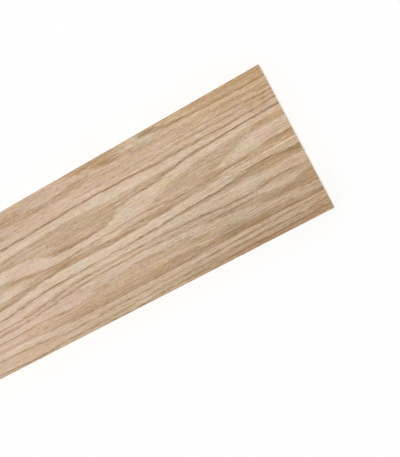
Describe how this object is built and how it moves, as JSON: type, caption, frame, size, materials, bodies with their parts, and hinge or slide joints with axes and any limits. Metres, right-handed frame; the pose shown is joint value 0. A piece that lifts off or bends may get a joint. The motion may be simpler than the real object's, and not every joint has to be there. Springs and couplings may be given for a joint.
{
  "type": "stair riser board",
  "caption": "Flat rectangular stair riser board of solid plain-sawn red oak, planed smooth, with square ends and lightly eased edges, to close the upright gap under a tread.",
  "frame": {"origin": "middle of the back face, which the board lies on; the lowest and middle point of its box", "axes": "+X along the board's length, towards the end shown whole in the picture; +Y across its width, towards the edge that goes up against the tread; +Z through its thickness, out of the finished face"},
  "size_m": [0.9144, 0.1906, 0.0191],
  "materials": {
    "red_oak": "planed and sanded bare, unfinished; plain-sawn cathedral grain with open pores, pale straw to pinkish tan"
  },
  "bodies": {
    "root": {"riser_board": "red_oak"}
  },
  "joints": []
}
